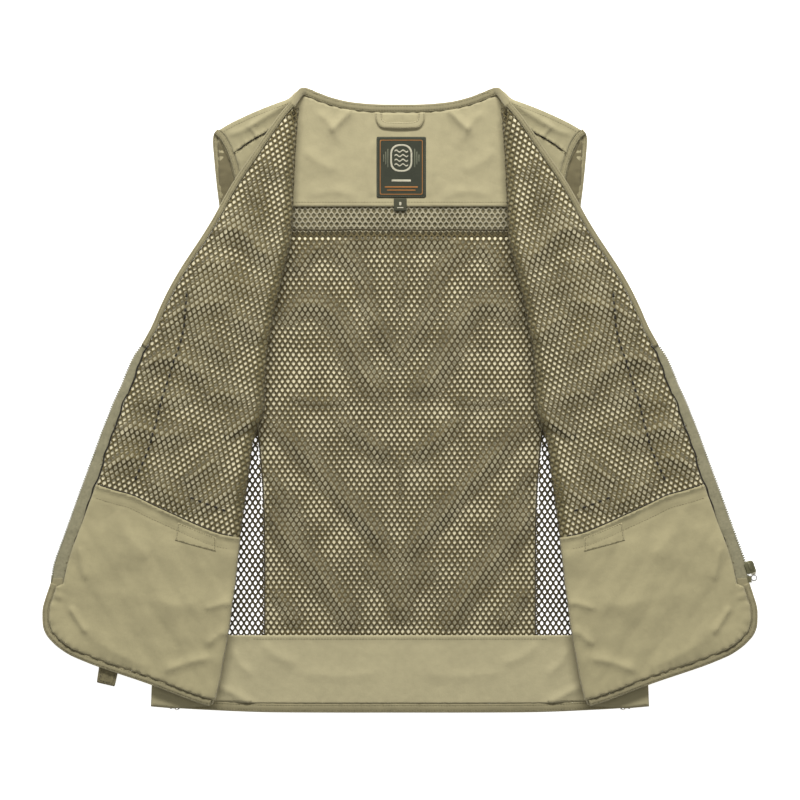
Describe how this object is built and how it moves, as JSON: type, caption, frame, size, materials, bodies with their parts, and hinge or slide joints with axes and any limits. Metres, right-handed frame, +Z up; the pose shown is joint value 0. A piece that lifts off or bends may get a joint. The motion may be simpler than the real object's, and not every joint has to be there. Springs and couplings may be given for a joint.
{
  "type": "fishing vest",
  "caption": "Khaki multi-pocket vest with mesh lining, laid open inner side up, fronts folded out on hinged fold lines, with inner pockets, bindings and a separating zip",
  "frame": {"origin": "bottom centre of the bounding box: on the surface that the vest lies on, under the middle of its length and width", "axes": "+X is across the vest, towards the front that carries the zip slider; +Y runs along the centre back from hem to neck; +Z points up from the surface, out of the inner side of the back"},
  "size_m": [0.7782, 0.6805, 0.0185],
  "materials": {
    "shell_fabric": "matte woven",
    "mesh_knit": "matte knitted mesh",
    "binding_fabric": "matte woven",
    "tape": "matte woven tape",
    "teeth": "satin",
    "slider_metal": "satin",
    "pull_light": "satin",
    "ring_wire": "dark",
    "label": "woven label",
    "hook_loop": "matte"
  },
  "bodies": {
    "root": {"back_armhole_binding_left": "binding_fabric", "back_armhole_binding_right": "binding_fabric", "back_hem_binding": "binding_fabric", "back_hem_facing": "shell_fabric", "back_lower_shell": "shell_fabric", "back_mesh_lining": "mesh_knit", "back_yoke_facing": "shell_fabric", "back_yoke_shell": "shell_fabric", "front_armhole_binding_left": "binding_fabric", "front_armhole_binding_right": "binding_fabric", "front_crease_left": "shell_fabric", "front_crease_right": "shell_fabric", "front_side_lining_left": "mesh_knit", "front_side_lining_right": "mesh_knit", "front_side_shell_left": "shell_fabric", "front_side_shell_right": "shell_fabric", "neck_binding": "binding_fabric", "neck_label": "label", "shoulder_yoke_left": "shell_fabric", "shoulder_yoke_right": "shell_fabric", "side_mesh_left": "mesh_knit", "side_mesh_right": "mesh_knit"},
    "front_left": {"cargo_pocket_left": "shell_fabric", "cargo_zip_left": "teeth", "chest_pocket_left": "shell_fabric", "chest_zip_left": "teeth", "front_mesh_lining_left": "mesh_knit", "front_shell_left": "shell_fabric", "hem_binding_left": "binding_fabric", "inner_pocket_left": "shell_fabric", "pocket_fastener_left": "hook_loop", "vee_binding_left": "binding_fabric", "zip_tape_left": "tape", "zip_teeth_left": "teeth", "insertion_pin": "teeth", "webbing_tab": "tape"},
    "front_right": {"cargo_pocket_right": "shell_fabric", "cargo_zip_right": "teeth", "chest_pocket_right": "shell_fabric", "chest_zip_right": "teeth", "front_mesh_lining_right": "mesh_knit", "front_shell_right": "shell_fabric", "hem_binding_right": "binding_fabric", "inner_pocket_right": "shell_fabric", "pocket_fastener_right": "hook_loop", "vee_binding_right": "binding_fabric", "zip_tape_right": "tape", "zip_teeth_right": "teeth", "retainer_box": "teeth", "retainer_pin": "teeth"},
    "zip_slider": {"zip_slider": "slider_metal"},
    "zip_pull": {"pull_tab": "pull_light", "pull_ring": "ring_wire"},
    "hanger_loop": {"hanger_loop": "shell_fabric"},
    "size_tag": {"size_tag": "label"},
    "cargo_slider_left": {"cargo_slider_left": "slider_metal"},
    "cargo_slider_right": {"cargo_slider_right": "slider_metal"},
    "chest_slider_left": {"chest_slider_left": "slider_metal"},
    "chest_slider_right": {"chest_slider_right": "slider_metal"}
  },
  "joints": [
    {"name": "fold_left", "type": "hinge", "parent": "root", "child": "front_left", "pos_m": [-0.1158, 0.3147, 0.013], "axis": [0.1405, 0.9901, 0], "range_deg": [0, 182]},
    {"name": "fold_right", "type": "hinge", "parent": "root", "child": "front_right", "pos_m": [0.1158, 0.3147, 0.013], "axis": [0.1405, -0.9901, 0], "range_deg": [0, 182]},
    {"name": "main_zip", "type": "slide", "parent": "front_right", "child": "zip_slider", "axis": [-0.3423, 0.9395, 0.0116], "range_m": [0, 0.2]},
    {"name": "pull_swing", "type": "hinge", "parent": "zip_slider", "child": "zip_pull", "pos_m": [0.38432, -0.18568, 0.00202], "axis": [0.0553, 0.0078, 0.9984], "range_deg": [-20, 60]},
    {"name": "hanger_loop_flip", "type": "hinge", "parent": "root", "child": "hanger_loop", "pos_m": [0, 0.3124, 0.004], "axis": [-1, 0, 0], "range_deg": [0, 150]},
    {"name": "size_tag_flip", "type": "hinge", "parent": "root", "child": "size_tag", "pos_m": [0.0003, 0.2196, 0.0031], "axis": [-1, 0, 0], "range_deg": [0, 165]},
    {"name": "cargo_zip_left", "type": "slide", "parent": "front_left", "child": "cargo_slider_left", "axis": [0.9593, -0.2771, 0.0553], "range_m": [0, 0.089]},
    {"name": "cargo_zip_right", "type": "slide", "parent": "front_right", "child": "cargo_slider_right", "axis": [-0.9593, -0.2771, 0.0553], "range_m": [0, 0.089]},
    {"name": "chest_zip_left", "type": "slide", "parent": "front_left", "child": "chest_slider_left", "axis": [0.9593, -0.2771, 0.0553], "range_m": [0, 0.056]},
    {"name": "chest_zip_right", "type": "slide", "parent": "front_right", "child": "chest_slider_right", "axis": [-0.9593, -0.2771, 0.0553], "range_m": [0, 0.056]}
  ]
}
